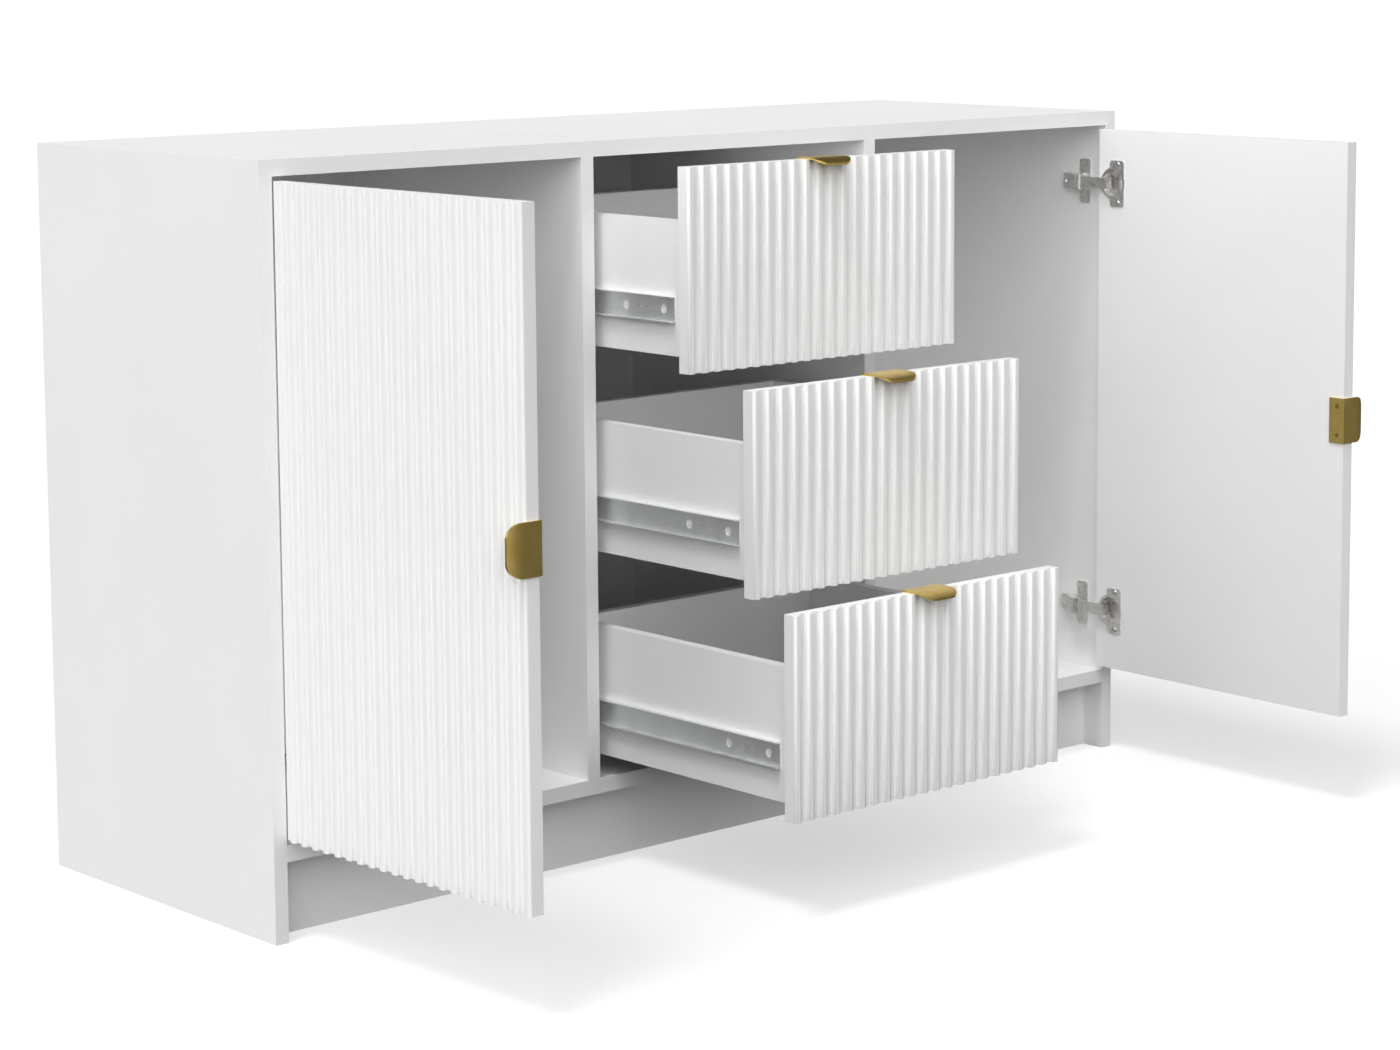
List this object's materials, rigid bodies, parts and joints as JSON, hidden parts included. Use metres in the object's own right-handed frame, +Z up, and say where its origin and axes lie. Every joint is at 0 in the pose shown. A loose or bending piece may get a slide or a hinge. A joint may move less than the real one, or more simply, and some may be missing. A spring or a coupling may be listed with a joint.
{
  "type": "sideboard buffet",
  "caption": "Free-standing white sideboard with hinged side doors, a stack of drawers between them, fluted fronts, metal edge pulls, concealed hinges and ball-bearing runners.",
  "frame": {"origin": "centre of the plinth board's bottom face, on the floor; the carcass front plane is at y = -0.038 and its back at y = 0.362", "axes": "+X to the right seen from the front, +Y towards the back, +Z up"},
  "size_m": [1.2, 0.773, 0.76],
  "materials": {
    "white_board": "matt white lacquer on engineered board",
    "thin_board": "matt white thin fibreboard",
    "gold": "brushed gold",
    "nickel": "nickel plated",
    "zinc_steel": "zinc plated",
    "dowel_beech": "plain beech"
  },
  "bodies": {
    "carcass": {"top_panel": "white_board", "bottom_panel": "white_board", "side_panel_left": "white_board", "side_panel_right": "white_board", "divider_left": "white_board", "divider_right": "white_board", "back_panel": "thin_board", "plinth_board": "white_board", "assembly_dowels": "dowel_beech", "hinge_plate_left_upper": "nickel", "hinge_plate_left_lower": "nickel", "hinge_plate_right_upper": "nickel", "hinge_plate_right_lower": "nickel", "hinge_arm_left_upper": "nickel", "hinge_arm_left_lower": "nickel", "hinge_arm_right_upper": "nickel", "hinge_arm_right_lower": "nickel", "hinge_plate_screws": "nickel", "runner_top_cabinet_members": "zinc_steel", "runner_middle_cabinet_members": "zinc_steel", "runner_bottom_cabinet_members": "zinc_steel"},
    "door_left": {"door_left": "white_board", "door_left_handle": "gold", "door_left_screws": "nickel", "hinge_cup_left_upper": "nickel", "hinge_cup_left_lower": "nickel"},
    "hinge_links_left": {"hinge_links_left": "nickel"},
    "door_right": {"door_right": "white_board", "door_right_handle": "gold", "door_right_screws": "nickel", "hinge_cup_right_upper": "nickel", "hinge_cup_right_lower": "nickel"},
    "hinge_links_right": {"hinge_links_right": "nickel"},
    "drawer_top": {"drawer_top_front": "white_board", "drawer_top_side_left": "white_board", "drawer_top_side_right": "white_board", "drawer_top_back": "white_board", "drawer_top_bottom": "thin_board", "drawer_top_handle": "gold", "drawer_top_handle_screws": "gold", "runner_top_drawer_members": "zinc_steel"},
    "ball_cages_top": {"runner_top_ball_cages": "zinc_steel"},
    "drawer_middle": {"drawer_middle_front": "white_board", "drawer_middle_side_left": "white_board", "drawer_middle_side_right": "white_board", "drawer_middle_back": "white_board", "drawer_middle_bottom": "thin_board", "drawer_middle_handle": "gold", "drawer_middle_handle_screws": "gold", "runner_middle_drawer_members": "zinc_steel"},
    "ball_cages_middle": {"runner_middle_ball_cages": "zinc_steel"},
    "drawer_bottom": {"drawer_bottom_front": "white_board", "drawer_bottom_side_left": "white_board", "drawer_bottom_side_right": "white_board", "drawer_bottom_back": "white_board", "drawer_bottom_bottom": "thin_board", "drawer_bottom_handle": "gold", "drawer_bottom_handle_screws": "gold", "runner_bottom_drawer_members": "zinc_steel"},
    "ball_cages_bottom": {"runner_bottom_ball_cages": "zinc_steel"}
  },
  "joints": [
    {"name": "door_left_hinge", "type": "hinge", "parent": "carcass", "child": "door_left", "pos_m": [-0.58575, -0.03475, 0.421], "axis": [0, 0, 1], "range_deg": [-6.3, 88.7]},
    {"name": "hinge_links_left_swing", "type": "hinge", "parent": "carcass", "child": "hinge_links_left", "pos_m": [-0.567, -0.013, 0.421], "axis": [0, 0, 1], "range_deg": [-6.3, 88.7]},
    {"name": "door_right_hinge", "type": "hinge", "parent": "carcass", "child": "door_right", "pos_m": [0.58575, -0.03475, 0.421], "axis": [0, 0, 1], "range_deg": [-88.7, 6.3]},
    {"name": "hinge_links_right_swing", "type": "hinge", "parent": "carcass", "child": "hinge_links_right", "pos_m": [0.567, -0.013, 0.421], "axis": [0, 0, 1], "range_deg": [-88.7, 6.3]},
    {"name": "drawer_top_slide", "type": "slide", "parent": "carcass", "child": "drawer_top", "axis": [0, -1, 0], "range_m": [-0.143, 0.157]},
    {"name": "ball_cages_top_slide", "type": "slide", "parent": "carcass", "child": "ball_cages_top", "axis": [0, -1, 0], "range_m": [-0.0715, 0.0785]},
    {"name": "drawer_middle_slide", "type": "slide", "parent": "carcass", "child": "drawer_middle", "axis": [0, -1, 0], "range_m": [-0.238, 0.062]},
    {"name": "ball_cages_middle_slide", "type": "slide", "parent": "carcass", "child": "ball_cages_middle", "axis": [0, -1, 0], "range_m": [-0.119, 0.031]},
    {"name": "drawer_bottom_slide", "type": "slide", "parent": "carcass", "child": "drawer_bottom", "axis": [0, -1, 0], "range_m": [-0.296, 0.004]},
    {"name": "ball_cages_bottom_slide", "type": "slide", "parent": "carcass", "child": "ball_cages_bottom", "axis": [0, -1, 0], "range_m": [-0.148, 0.002]}
  ],
  "couplings": [
    {"joint": "hinge_links_left_swing", "follows": "door_left_hinge", "ratio": 1},
    {"joint": "hinge_links_right_swing", "follows": "door_right_hinge", "ratio": 1},
    {"joint": "ball_cages_top_slide", "follows": "drawer_top_slide", "ratio": 0.5},
    {"joint": "ball_cages_middle_slide", "follows": "drawer_middle_slide", "ratio": 0.5},
    {"joint": "ball_cages_bottom_slide", "follows": "drawer_bottom_slide", "ratio": 0.5}
  ]
}
